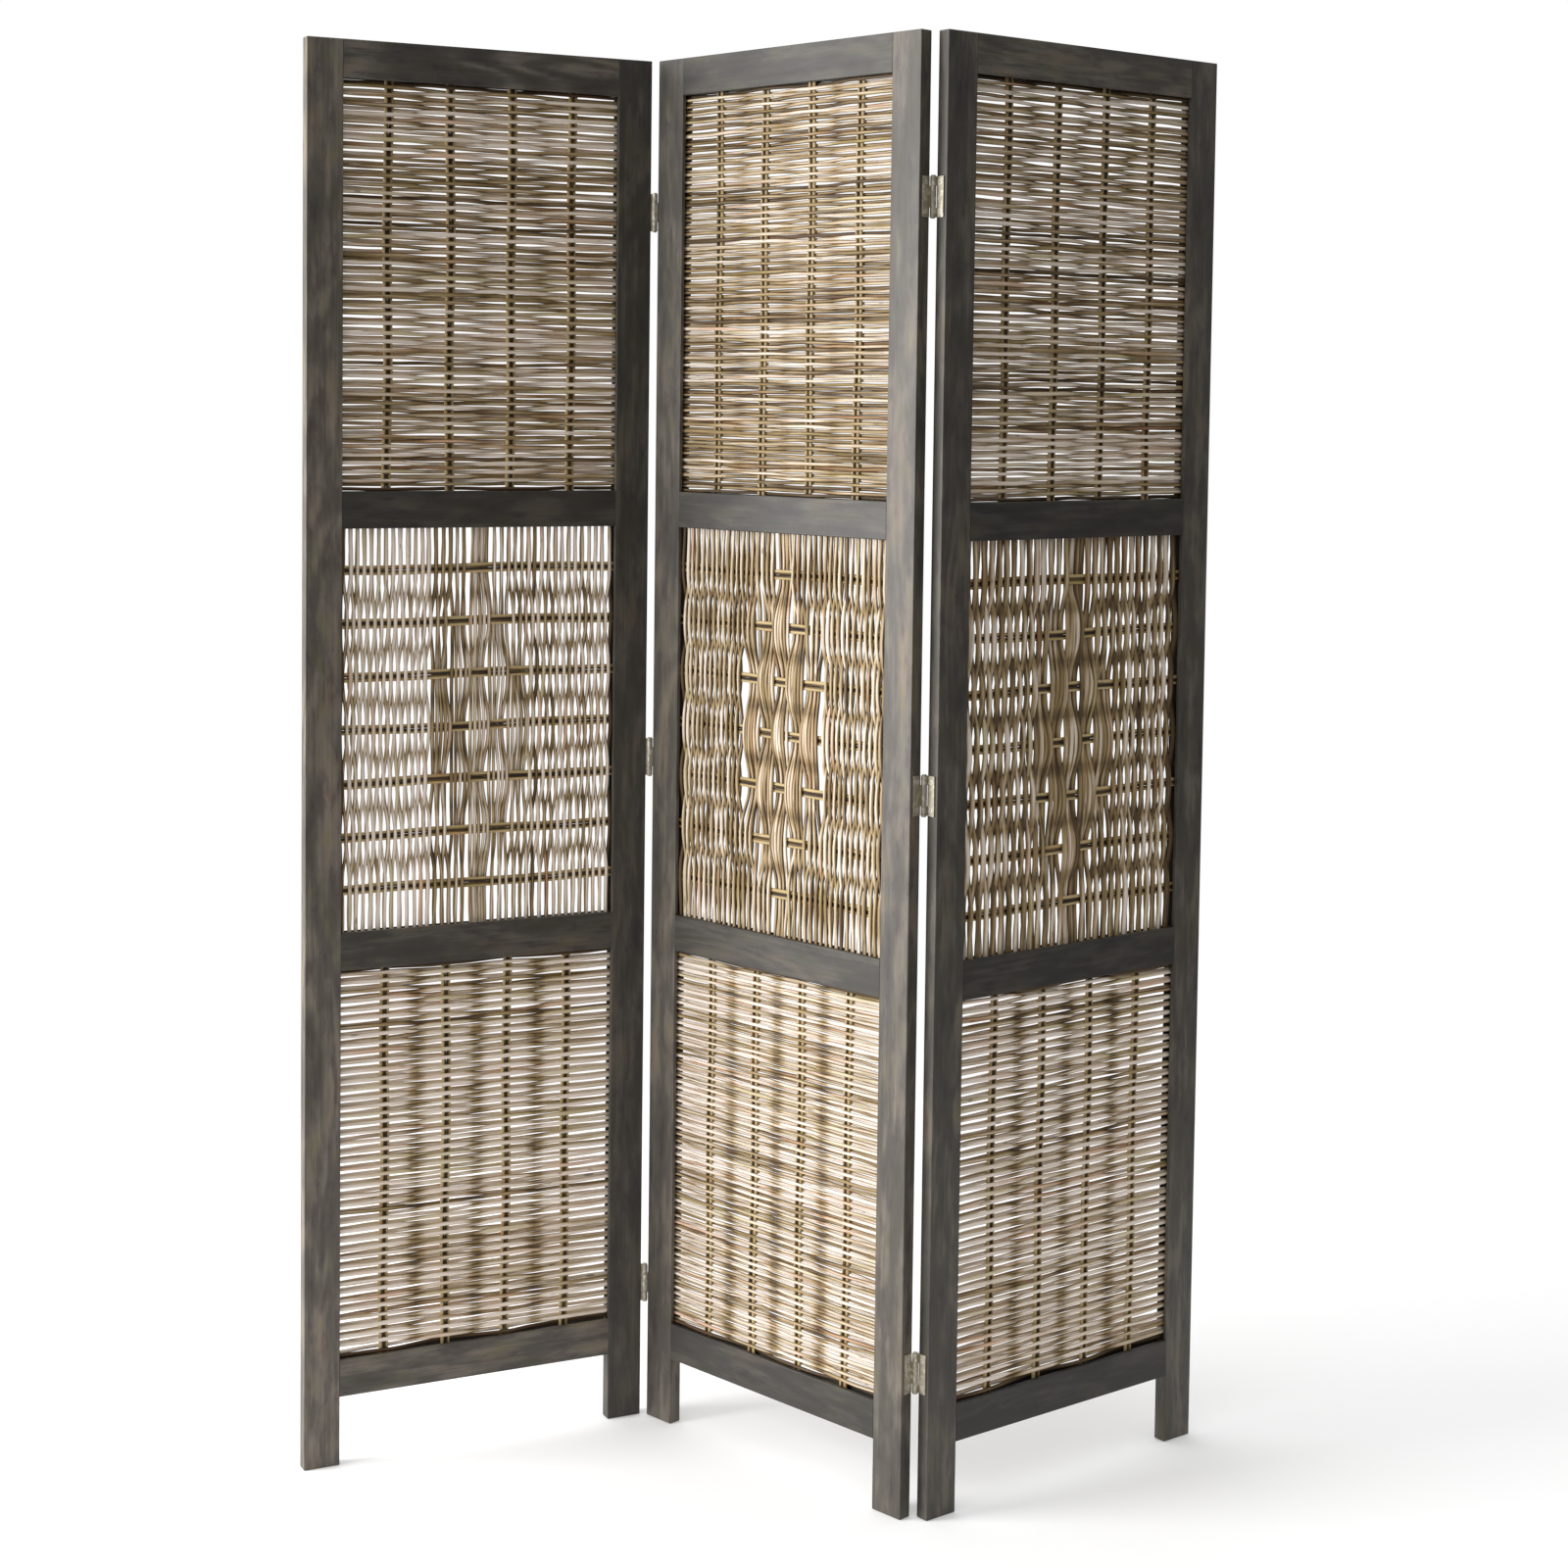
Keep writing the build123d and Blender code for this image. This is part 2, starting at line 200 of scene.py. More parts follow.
# ---- the panels' own directions ----
class PanelFrame:
    """A panel's own directions, across, into and up, measured from its left foot."""

    def __init__(self, name):
        feet = {mount["name"]: Vector(mount["pos_m"]) for mount in frame["record"]["mounts"]}
        self.name = name
        self.origin = feet[f"{name}_panel_left_foot"]
        across = (feet[f"{name}_panel_right_foot"] - self.origin).normalized()
        self.axes = np.array([across, (-across.y, across.x, 0.0), (0.0, 0.0, 1.0)])
        self.turn = math.atan2(across.y, across.x)

    def limits(self, part):
        """The lowest and highest place of one of the panel's CAD nodes."""
        vertices = frame["nodes"][f"{self.name}_{part}"].data.vertices
        points = np.empty(len(vertices) * 3)
        vertices.foreach_get("co", points)
        local = (points.reshape(-1, 3) - np.array(self.origin)) @ self.axes.T
        return local.min(axis=0), local.max(axis=0)

    def to_world(self, local):
        """World points from places in the panel's own directions."""
        return local @ self.axes + np.array(self.origin)


class Insert:
    """One woven insert's place: its opening, how far its willow reaches, and its stick pairs."""

    def __init__(self, panel, level, sticks):
        self.panel, self.level = panel, level
        self.lying = level != "middle"
        self.name = f"{panel.name}_{level}"
        below, above = RAILS_ROUND[level]
        rods = panel.limits(f"{level}_rods")
        held = panel.limits(f"{level}_sticks")
        across = (panel.limits("stile_left")[1][0], panel.limits("stile_right")[0][0])
        up = (panel.limits(below)[1][2], panel.limits(above)[0][2])
        along, over = (0, 2) if self.lying else (2, 0)
        self.opening = up if self.lying else across
        self.reach = (rods[0][along], rods[1][along])
        self.stick_reach = (held[0][over], held[1][over])
        self.middle = (held[0][1] + held[1][1]) / 2
        pairs = sticks.standing_pairs if self.lying else sticks.lying_pairs
        inset = (sticks.width + sticks.pair_gap) / 2
        self.rows = np.linspace(held[0][along] + inset, held[1][along] - inset, pairs)

    def place(self, along, over, into):
        """World points from places along the rods, across them, and into the panel."""
        axes = (along, into, over) if self.lying else (over, into, along)
        return self.panel.to_world(np.stack(np.broadcast_arrays(*axes), axis=-1))


# ---- meshes ----
def tubes(insert, along, over, into, width, depth, seeds, bark, crosswise=False):
    """Mesh data of round willow: a row of centres and sizes for each length, and its tint, painted shade and
    painted rim light included.
    """
    count, rings = over.shape
    out = 1 + OVALNESS * np.sin(2 * SIDE_ANGLES + seeds[:, None, None] * OVAL_TURN)
    side = over[..., None] + width[..., None] / 2 * np.cos(SIDE_ANGLES) * out
    deep = into[..., None] + depth[..., None] / 2 * np.sin(SIDE_ANGLES) * out
    down = np.broadcast_to(along[..., None], side.shape)
    points = insert.place(side, down, deep) if crosswise else insert.place(down, side, deep)
    index = np.arange(count * rings * TUBE_SIDES).reshape(count, rings, TUBE_SIDES)
    here, there = index[:, :-1], index[:, 1:]
    quads = np.stack(
        [here, np.roll(here, -1, axis=2), np.roll(there, -1, axis=2), there], axis=-1
    ).reshape(-1, 4)
    first, last = index[:, 0, ::-1], index[:, -1]
    if insert.lying != crosswise:
        quads, first, last = quads[:, ::-1], first[:, ::-1], last[:, ::-1]
    around = np.broadcast_to(SIDE_ANGLES / math.tau, side.shape)
    seed = np.broadcast_to(seeds[:, None, None], side.shape)
    grain = np.stack([down, around, seed], axis=-1)
    # The tint holds painted shade and painted rim light as well as the bark's own tint.
    tint = np.broadcast_to(bark, side.shape)
    faces = quads.tolist() + first.tolist() + last.tolist()
    return points.reshape(-1, 3), faces, grain.reshape(-1, 3), tint.reshape(-1)


def make_piece(name, points, faces, grain, tint, material):
    """A smooth mesh piece that carries its grain's directions and each length's tint, with its painted shade and
    painted rim light.
    """
    mesh = bpy.data.meshes.new(name)
    mesh.from_pydata(points.tolist(), [], faces)
    mesh.attributes.new("grain", "FLOAT_VECTOR", "POINT").data.foreach_set("vector", grain.ravel())
    mesh.attributes.new("bark_tint", "FLOAT", "POINT").data.foreach_set("value", tint.ravel())
    mesh.polygons.foreach_set("use_smooth", [True] * len(mesh.polygons))
    mesh.materials.append(material)
    mesh.validate()
    piece = bpy.data.objects.new(name, mesh)
    bpy.context.scene.collection.objects.link(piece)
    return piece


def span_of(along, knots):
    """The number of the span, between one knot and the next, that each place is in."""
    return np.clip(np.searchsorted(knots, along, side="right") - 1, 0, len(knots) - 2)


def eased(along, knots, values, skew):
    """Values that pass smoothly from knot to knot, and hold for a short way at each."""
    place = span_of(along, knots)
    span = knots[place + 1] - knots[place]
    part = np.clip((along - knots[place] - KNOT_HOLD) / (span - 2 * KNOT_HOLD), 0, 1)
    part = part ** skew[place]
    weight = 0.5 - 0.5 * np.cos(math.pi * part)
    return values[place] * (1 - weight) + values[place + 1] * weight


def smooth_noise(rng, count, step):
    """Numbers between about -1 and 1 that drift from one to the next."""
    coarse = rng.uniform(-1, 1, int(count / step) + 3)
    return np.interp(np.arange(count) / step, np.arange(len(coarse)), coarse)


# ---- weaving ----
class Weaver:
    """Works out the line of every rod of one insert."""

    def __init__(self, insert, weave, sticks, seed):
        self.insert, self.weave, self.sticks = insert, weave, sticks
        self.rng = np.random.default_rng(seed)
        low, high = insert.opening
        pairs = round((high - low) / PITCHES[insert.name])
        self.count = 2 * pairs
        self.pitch = (high - low) / pairs
        rods = np.arange(self.count)
        places = (rods + 0.5) * self.pitch / 2
        drift = smooth_noise(self.rng, self.count, DRIFT_STEP) * weave.drift
        fade = np.minimum(1, np.minimum(rods, rods[::-1]) / EDGE_RODS)
        self.means = low + places + drift * fade
        self.centre = (low + high) / 2
        self.swing = self.pitch / 4
        self.rod_width = weave.rod_share * self.pitch * GIRTH.get(insert.name, 1.0)
        self.bundle_rods = round(2 * weave.bundle_pitch / self.pitch)
        self.offset = (sticks.depth + weave.rod_depth) / 2

    def bundle(self, rod):
        """The number of a rod's bundle, counted from the middle one, and its place in it."""
        size = self.bundle_rods
        first = (self.count - size) // 2
        number = (rod - first) // size
        return number, rod - first - number * size - (size - 1) / 2

    def outermost(self, row):
        """The number of the diamond's outermost bundle in a row."""
        return min(row, len(self.insert.rows) - 1 - row, DIAMOND_REACH)

    def motif(self, rod, row):
        """How a rod passes a row in the diamond: in front, behind as a tie, or not in it."""
        number, _ = self.bundle(rod)
        if self.insert.lying or abs(number) > self.outermost(row):
            return None
        return "tie" if (number + row) % 2 == 0 else "front"

    def lean(self, rod, row):
        """How far a rod beside the diamond moves to meet its outermost bundle."""
        number, _ = self.bundle(rod)
        reach = self.outermost(row) + 0.5
        if self.insert.lying or abs(number) < reach:
            return 0.0
        low, high = self.insert.opening
        edge = reach * self.bundle_rods * self.pitch / 2
        side = self.means[rod] - self.centre
        left = np.clip(((high - low) / 2 - abs(side)) / ((high - low) / 2 - edge), 0, 1)
        return math.copysign((reach * self.weave.bundle_pitch - edge) * left, side)

    def line(self, rod):
        """Knots along a rod, with its place across and into the panel at each."""
        rows = self.insert.rows
        over, into = [], []
        for row in range(len(rows)):
            passing = self.motif(rod, row)
            number, place = self.bundle(rod)
            if passing is None:
                way = 1 if (rod + row) % 2 == 0 else -1
                reach = self.swing * self.rng.uniform(*OPENNESS[self.insert.name])
                if rod in (0, self.count - 1):
                    reach = 0.0
                over.append(self.means[rod] + way * reach + self.lean(rod, row))
                into.append(-way * self.offset)
            else:
                centre = self.centre + number * self.weave.bundle_pitch
                spread = self.weave.waist if passing == "tie" else FRONT_SPREAD
                over.append(centre + place * self.weave.bundle_pitch / self.bundle_rods * spread)
                if passing == "tie":
                    layer = TIE_LAYER * (1 if int(place + LAYER_PHASE) % 2 else -1)
                    into.append(self.offset + layer + TIE_DEPTH)
                else:
                    into.append(-self.offset - FRONT_BULGE * math.cos(place * BULGE_CURVE))
        start, end = self.insert.reach
        knots = np.array([start, *rows, end])
        over = np.array([over[0], *over, over[-1]])
        into = np.array([into[0] * END_DEPTH, *into, into[-1] * END_DEPTH])
        return knots, over, into

    def crossing_shade(self, along, knots, into):
        """Where the painted crossing shade falls: 1 where a rod passes from one face of the weave to the other,
        and 0 at its knots.
        """
        place = span_of(along, knots)
        part = (along - knots[place]) / (knots[place + 1] - knots[place])
        changes = into[place] * into[place + 1] < 0
        return np.where(changes, np.sin(math.pi * np.clip(part, 0, 1)) ** CROSSING_SHARPNESS, 0)

    def bark(self, rod):
        """A rod's own tint; the outermost rods, beside the frame, get the darkest tint as painted shade."""
        tint = self.rng.normal(*ROD_TINT) + PALENESS[self.insert.name]
        if any(self.motif(rod, row) for row in range(len(self.insert.rows))):
            tint = self.rng.normal(*DIAMOND_TINT) + PALENESS[self.insert.name] / 2
        # The outermost rods stand in for the shade under and beside the frame: painted shade.
        if rod in (0, self.count - 1):
            tint = DARKEST_TINT
        return np.clip(tint, DARKEST_TINT, 1)

    def rods(self):
        """Centres, sizes, seeds and tints of all the rods, painted shade included, for the mesh."""
        weave = self.weave
        start, end = self.insert.reach
        rings = int((end - start) / weave.ring_step) + 1
        along = np.linspace(start, end, rings)
        fraction = (along - along.mean()) / (end - start)
        spans = len(self.insert.rows) + 1
        skews = [smooth_noise(self.rng, self.count, SKEW_STEP) for _ in range(spans)]
        skews = np.stack(skews, axis=1)
        # Painted shade along each rod's sides, where its neighbours shade it.
        side_shade_mask = (np.abs(np.cos(SIDE_ANGLES)) - SIDE_SHADE_FROM) / (1 - SIDE_SHADE_FROM)
        side_shade_mask = np.broadcast_to(np.clip(side_shade_mask, 0, 1), (rings, TUBE_SIDES))
        (slow, slow_share), (quick, quick_share) = ROD_SWAYS
        paths, depths_in, widths, depths, seeds, bark_and_painted_light = [], [], [], [], [], []
        for rod in range(self.count):
            knots, over, into = self.line(rod)
            phase = self.rng.uniform(0, math.tau, 3)
            sway = np.sin(along * slow + phase[0]) * slow_share
            sway = sway + np.sin(along * quick + phase[1]) * quick_share
            skew = 1 + SKEW * skews[rod]
            paths.append(eased(along, knots, over, skew) + sway * weave.wobble)
            stray = sway[::-1] * weave.wobble * DEPTH_SWAY
            depths_in.append(eased(along, knots, into, skew) + stray + self.insert.middle)
            taper = 1 + ROD_TAPER * (-1 if self.rng.random() < 0.5 else 1) * fraction
            size = self.rng.uniform(*ROD_SIZES)
            knuckles = 1 + ROD_KNUCKLES * np.sin(along * KNUCKLE_WAVE + phase[2])
            widths.append(self.rod_width * size * taper * knuckles)
            depths.append(weave.rod_depth * min(size, 1.0) * taper)
            seeds.append(self.rng.random())
            # Painted shade where the rod changes sides.
            dimming = weave.crossing_shade * CROSSING_SHADE[self.insert.level]
            painted_crossing_shade = dimming * self.crossing_shade(along, knots, into)[:, None]
            bark_and_painted_light.append(self.bark(rod) - weave.painted_crevice_shade * side_shade_mask - painted_crossing_shade)
        along = np.broadcast_to(along, (self.count, rings))
        return along, *map(np.array, (paths, depths_in, widths, depths, seeds, bark_and_painted_light))

    def stick_lines(self):
        """Centres, sizes, seeds and tints of the stick pairs, with painted shade on their facing sides and painted
        rim light on their outer sides, for the mesh.
        """
        sticks = self.sticks
        start, end = self.insert.stick_reach
        rings = int((end - start) / STICK_RING_STEP) + 1
        over = np.linspace(start, end, rings)
        fraction = (over - over.mean()) / (end - start)
        places, depths_in, widths, depths = [], [], [], []
        for row, centre in enumerate(self.insert.rows):
            phase = self.rng.uniform(0, math.tau, 2)
            drift = np.sin((over - start) * PAIR_WAVE + phase[0]) * sticks.wobble
            bow = self.bow(over, row)
            for side in (-1, 1):
                alone = np.sin((over - start) * STICK_WAVE + phase[1] + side) * STICK_BEND
                places.append(centre + side * sticks.pair_gap / 2 + drift + alone)
                depths_in.append(self.insert.middle + bow)
                slim = 1 + STICK_TAPER * side * fraction
                widths.append(sticks.width * slim)
                depths.append(sticks.depth * slim)
        count = len(places)
        seeds = self.rng.random(count)
        # Painted light on the sticks: the sides of a pair that face each other stay dark as painted shade, and the
        # outer sides get painted rim light.
        outward = np.tile([-1, 1], len(self.insert.rows))[:, None] * np.cos(SIDE_ANGLES)
        rim_light = np.clip((outward - RIM_FROM) / RIM_WIDTH, 0, 1)
        bark_and_painted_light = self.rng.uniform(*STICK_TINT, count)[:, None] + PAINTED_RIM_LIGHT * rim_light
        bark_and_painted_light = np.repeat(bark_and_painted_light[:, None, :], rings, axis=1)
        over = np.broadcast_to(over, (count, rings))
        return over, *map(np.array, (places, depths_in, widths, depths)), seeds, bark_and_painted_light

    def bow(self, over, row):
        """How far the diamond's bundles push a stick pair out of line."""
        pushed = np.zeros(len(over))
        for number in range(-DIAMOND_REACH, DIAMOND_REACH + 1):
            rod = (self.count - 1) // 2 + number * self.bundle_rods
            passing = self.motif(rod, row)
            if passing:
                at = self.centre + number * self.weave.bundle_pitch
                push = TIE_PUSH if passing == "tie" else FRONT_PUSH
                pushed = pushed + push * np.exp(-(((over - at) / PUSH_LENGTH) ** 2))
        return pushed


# ---- shaders ----
# Which output of a node to take, where it isn't the first.
VECTOR_OUTPUT = 1
NUMBER_OUTPUT = 2
OBJECT_OUTPUT = 3


class Value:
    """A shader socket whose arithmetic adds Math nodes."""

    def __init__(self, shader, socket):
        self.shader, self.socket = shader, socket

    def _math(self, operation, *terms):
        return self.shader.node("Math", {"operation": operation}, dict(enumerate(terms)))[0]

    def __add__(self, other):
        return self._math("ADD", self, other)

    __radd__ = __add__

    def __sub__(self, other):
        return self._math("SUBTRACT", self, other)

    def __rsub__(self, other):
        return self._math("SUBTRACT", other, self)

    def __mul__(self, other):
        return self._math("MULTIPLY", self, other)

    __rmul__ = __mul__


class Shader:
    """The node tree of a material or a world, built node by node onto its last shader."""

    def __init__(self, owner, surface, **constants):
        owner.use_nodes = True
        self.owner, self.tree = owner, owner.node_tree
        self.surface = self.tree.nodes[surface]
        for socket, value in constants.items():
            self.set(socket.replace("_", " "), value)

    def node(self, kind, settings=None, sockets=None):
        """Add a node: its settings are set first, then its sockets' values or links."""
        made = self.tree.nodes.new("ShaderNode" + kind)
        for key, value in (settings or {}).items():
            if key == "stops":
                for _ in range(len(value) - 2):
                    made.color_ramp.elements.new(0.5)
                for element, (place, colour) in zip(made.color_ramp.elements, value):
                    element.position, element.color = place, (*colour, 1.0)
            else:
                setattr(made, key, value)
        for key, value in (sockets or {}).items():
            self.link(made.inputs, key, value)
        return [Value(self, output) for output in made.outputs if output.enabled]

    def link(self, inputs, key, value):
        """Link a value to a socket, or set it there, by the socket's name or number."""
        if isinstance(key, int):
            socket = inputs[key]
        else:
            socket = next(s for s in inputs if s.enabled and key in (s.name, s.identifier))
        if isinstance(value, Value):
            self.tree.links.new(value.socket, socket)
        elif socket.type == "RGBA" and len(value) == 3:
            socket.default_value = (*value, 1.0)
        else:
            socket.default_value = value

    def mix(self, amount, first, second, blend="MIX"):
        """A colour between two colours."""
        settings = {"data_type": "RGBA", "blend_type": blend}
        return self.node("Mix", settings, {"Factor": amount, "A": first, "B": second})[0]

    def times(self, amount, colour, filter_colour):
        """A colour seen through a coloured filter, by some amount."""
        return self.mix(amount, colour, filter_colour, "MULTIPLY")

    def ramp(self, amount, *stops):
        """A colour from stops, each a place from 0 to 1 and its colour."""
        return self.node("ValToRGB", {"stops": stops}, {"Fac": amount})[0]

    def between(self, amount, low, high):
        """How far a number has gone from low to high, held between 0 and 1."""
        sockets = {"Value": amount, "From Min": low, "From Max": high}
        return self.node("MapRange", {"interpolation_type": "SMOOTHSTEP"}, sockets)[0]

    def noise(self, place, scale=1.0, detail=3.0, roughness=0.5, distortion=0.0):
        """Noise from about 0.3 to 0.7 that varies with a place."""
        sockets = {"Vector": place, "Scale": scale, "Detail": detail, "Roughness": roughness}
        sockets["Distortion"] = distortion
        return self.node("TexNoise", {}, sockets)[0]

    def turned(self, place, angle):
        """Coordinates turned about the upright."""
        settings = {"rotation_type": "Z_AXIS"}
        return self.node("VectorRotate", settings, {"Vector": place, "Angle": angle})[0]

    def stretched(self, place, scale, offset=(0, 0, 0)):
        """Coordinates moved, then stretched."""
        shifted = self.node("VectorMath", {"operation": "ADD"}, {0: place, 1: offset})[0]
        return self.node("VectorMath", {"operation": "MULTIPLY"}, {0: shifted, 1: scale})[0]

    def bump(self, height, strength, distance):
        """A surface direction from a height; the distance is in metres."""
        sockets = {"Height": height, "Strength": strength, "Distance": distance}
        return self.node("Bump", {}, sockets)[0]

    def set(self, socket, value):
        """Link a value to one of the last shader's own sockets, or set it there."""
        self.link(self.surface.inputs, socket, value)


def linear(red, green, blue):
    """A colour as it is seen, 0 to 255, in the linear values that shaders take."""
    return tuple(
        c / 12.92 if c <= 0.04045 else ((c + 0.055) / 1.055) ** 2.4
        for c in (red / 255, green / 255, blue / 255)
    )


OLIVE_TINGE = linear(214, 210, 172)
WARM_TINGE = linear(232, 206, 184)
GREEN_TINGE = linear(238, 243, 218)
VIOLET_TINGE = linear(243, 233, 240)
BROWN_TINGE = linear(242, 232, 218)
BARE_WOOD = linear(190, 160, 120)
BARE_WOOD_GRAIN = linear(160, 128, 90)


def new_material(name, **constants):
    """A shader for a new material."""
    return Shader(bpy.data.materials.new(name), "Principled BSDF", **constants)


def willow_material(name, pale, tan, dark):
    """Smoked willow: a tint for each rod with painted shade and painted rim light in it, streaks and flecks along
    it, and dark leaf scars.
    """
    shader = new_material(name, Roughness=0.5, IOR=1.45)
    grain = shader.node("Attribute", {"attribute_name": "grain"})[VECTOR_OUTPUT]
    tint = shader.node("Attribute", {"attribute_name": "bark_tint"})[NUMBER_OUTPUT]
    patch = shader.noise(shader.stretched(grain, PATCH_GRAIN), detail=2.0)
    streak = shader.noise(shader.stretched(grain, STREAK_GRAIN), detail=3.0, roughness=0.65)
    tone = tint + (patch - 0.5) * PATCH_SHARE + (streak - 0.5) * STREAK_SHARE
    body = shader.ramp(tone, (0.0, dark), (TAN_STOP, tan), (PALE_STOP, pale), (1.0, pale))
    hue = shader.noise(shader.stretched(grain, HUE_GRAIN), detail=1.0)
    olive = shader.times(shader.between(hue, 0.5, 0.75), body, OLIVE_TINGE)
    warm = shader.times(shader.between(hue, 0.45, 0.25), olive, WARM_TINGE)
    scar_noise = shader.noise(shader.stretched(grain, SCAR_GRAIN), detail=1.0)
    scar = shader.between(scar_noise, 0.7, 0.78)
    shader.set("Base Color", shader.mix(scar * 0.6, warm, dark))
    shader.set("Roughness", 0.5 + streak * 0.25)
    shader.set("Normal", shader.bump(streak + scar * 0.4, strength=0.35, distance=0.0004))
    return shader.owner


def stained_wood_material(name, wood, turn, upright, seed, tone, figure):
    """Stained wood: fine pores along the grain, slow drifts of tint, and its growth figure."""
    shader = new_material(name, IOR=1.5, Specular_IOR_Level=0.5)
    place = shader.turned(shader.node("TexCoord")[OBJECT_OUTPUT], -turn)
    offset = tuple(seed * step for step in BOARD_OFFSET)

    def grained(grain, **noise):
        """Noise stretched along the board."""
        across, along = grain
        scale = (across, across, along) if upright else (along, across, across)
        return shader.noise(shader.stretched(place, scale, offset), **noise)

    pores = grained(PORE_GRAIN, detail=4.0, roughness=0.65)
    bands = grained(BAND_GRAIN, detail=5.0, roughness=0.62, distortion=0.3)
    drift = grained(DRIFT_GRAIN, detail=3.0, roughness=0.6)
    blotch = grained(BLOTCH_GRAIN, detail=3.0, roughness=0.6)
    contour = grained(CONTOUR_GRAIN, detail=1.5, roughness=0.4)
    wave = shader.node("Math", {"operation": "SINE"}, {0: contour * RING_COUNT})[0]
    rings = wave * 0.5 + 0.5
    fibres = bands * BAND_SHARE + rings * figure + pores * PORE_SHARE
    figured = fibres + drift * DRIFT_SHARE + blotch * BLOTCH_SHARE - TINT_MEAN - figure / 2
    stained = shader.ramp(figured, *zip(WOOD_STOPS, (wood.dark, wood.stain, wood.pale)))
    green = shader.times(shader.between(blotch, 0.52, 0.66), stained, GREEN_TINGE)
    violet = shader.times(shader.between(blotch, 0.46, 0.34), green, VIOLET_TINGE)
    brown = shader.times(shader.between(drift, 0.52, 0.7), violet, BROWN_TINGE)
    pits = shader.between(pores, 0.58, 0.7)
    pitted = shader.mix(pits * 0.55, brown, wood.dark)
    shader.set("Base Color", shader.times(1.0, pitted, (tone, tone, tone)))
    shader.set("Roughness", 0.42 + bands * 0.2)
    shader.set("Normal", shader.bump(pores * 0.7 + bands * 0.5, strength=0.3, distance=0.0005))
    return shader.owner


def hinge_material(name, metal, worn):
    """Aged metal: a dull film, rubbed brighter in patches."""
    shader = new_material(name, Metallic=0.85)
    place = shader.node("TexCoord")[OBJECT_OUTPUT]
    film = shader.noise(place, scale=FILM_SCALE, detail=4.0, roughness=0.6)
    rubbed = shader.between(film, 0.46, 0.68)
    scratch = shader.noise(shader.stretched(place, SCRATCH_GRAIN), detail=2.0)
    shader.set("Base Color", shader.mix(rubbed, metal, worn))
    shader.set("Roughness", 0.5 - rubbed * 0.16 + scratch * 0.1)
    shader.set("Normal", shader.bump(film + scratch * 0.4, strength=0.2, distance=0.0003))
    return shader.owner


def plain_wood_material(name, colour, end_colour):
    """Bare turned wood, for the hidden dowels."""
    shader = new_material(name, Roughness=0.6)
    place = shader.node("TexCoord")[OBJECT_OUTPUT]
    grain = shader.noise(shader.stretched(place, DOWEL_GRAIN), detail=3.0)
    shader.set("Base Color", shader.mix(grain, colour, end_colour))
    shader.set("Normal", shader.bump(grain, strength=0.2, distance=0.0003))
    return shader.owner


def floor_material(name, colour, glow):
    """A pale matt floor that gives off a little light."""
    shader = new_material(name, Roughness=0.9, Emission_Strength=glow)
    shader.set("Base Color", colour)
    shader.set("Emission Color", (1.0, 1.0, 1.0))
    return shader.owner


# ---- sizes and colours a user would change ----
class ScreenWeaveSettings(bpy.types.PropertyGroup):
    rod_share: bpy.props.FloatProperty(
        name="Rod Share", description="Width of a rod, as a share of its insert's pitch",
        default=0.484, subtype="FACTOR", min=0.2, max=0.6,
    )
    rod_depth: bpy.props.FloatProperty(
        name="Rod Depth", description="Thickness of a rod through the weave",
        default=0.0036, unit="LENGTH",
    )
    bundle_pitch: bpy.props.FloatProperty(
        name="Bundle Pitch", description="Spacing of the diamond's bundles",
        default=0.0242, unit="LENGTH",
    )
    drift: bpy.props.FloatProperty(
        name="Drift", description="How unevenly rods are spaced",
        default=0.0014, unit="LENGTH",
    )
    wobble: bpy.props.FloatProperty(
        name="Wobble", description="How far a rod strays from its line",
        default=0.00055, unit="LENGTH",
    )
    # Painted shade: darkens the bark along each rod's sides, where neighbouring rods shade it.
    painted_crevice_shade: bpy.props.FloatProperty(
        name="Crevice", description="How much darker the bark is where rods meet",
        default=0.42, subtype="FACTOR", min=0, max=1,
    )
    # Painted shade: darkens the bark where rods change sides.
    crossing_shade: bpy.props.FloatProperty(
        name="Crossing", description="How much darker the bark is where rods change sides",
        default=1.0, subtype="FACTOR", min=0, max=1,
    )
    ring_step: bpy.props.FloatProperty(
        name="Ring Step", description="Length of one mesh segment of a rod",
        default=0.0066, unit="LENGTH",
    )
    waist: bpy.props.FloatProperty(
        name="Waist", description="Width of a bundle at a tie, as a share of its rods' own",
        default=0.76, subtype="FACTOR", min=0.1, max=1,
    )
    pale: bpy.props.FloatVectorProperty(
        name="Pale Bark", description="Lightest rods",
        subtype="COLOR", default=linear(224, 211, 198),
    )
    tan: bpy.props.FloatVectorProperty(
        name="Tan Bark", description="Most rods",
        subtype="COLOR", default=linear(159, 135, 95),
    )
    dark: bpy.props.FloatVectorProperty(
        name="Dark Bark", description="Darkest rods and leaf scars",
        subtype="COLOR", default=linear(78, 59, 34),
    )


